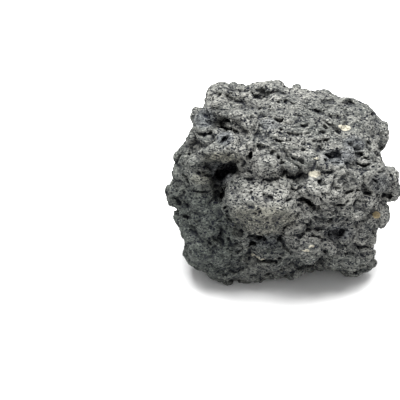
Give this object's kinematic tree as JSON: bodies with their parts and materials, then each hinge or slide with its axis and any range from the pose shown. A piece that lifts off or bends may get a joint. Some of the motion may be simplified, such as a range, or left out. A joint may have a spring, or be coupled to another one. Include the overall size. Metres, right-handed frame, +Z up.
{
  "type": "lava rock",
  "caption": "Rough block of grey vesicular lava rock with a rounded nodule, ledges, pits and a deep cavity, resting on worn flats.",
  "frame": {"origin": "on the surface that the block stands on, under the middle of its bounding box", "axes": "+X along the block's longest side, to the right of its weathered face; +Z up; the weathered face looks along -Y"},
  "size_m": [0.1202, 0.0982, 0.0942],
  "materials": {
    "vesicular_stone": "dry, matte grey vesicular basalt, pocked all over, with darker hollows and a few pale crystals"
  },
  "bodies": {
    "root": {"lava_rock": "vesicular_stone"}
  },
  "joints": []
}
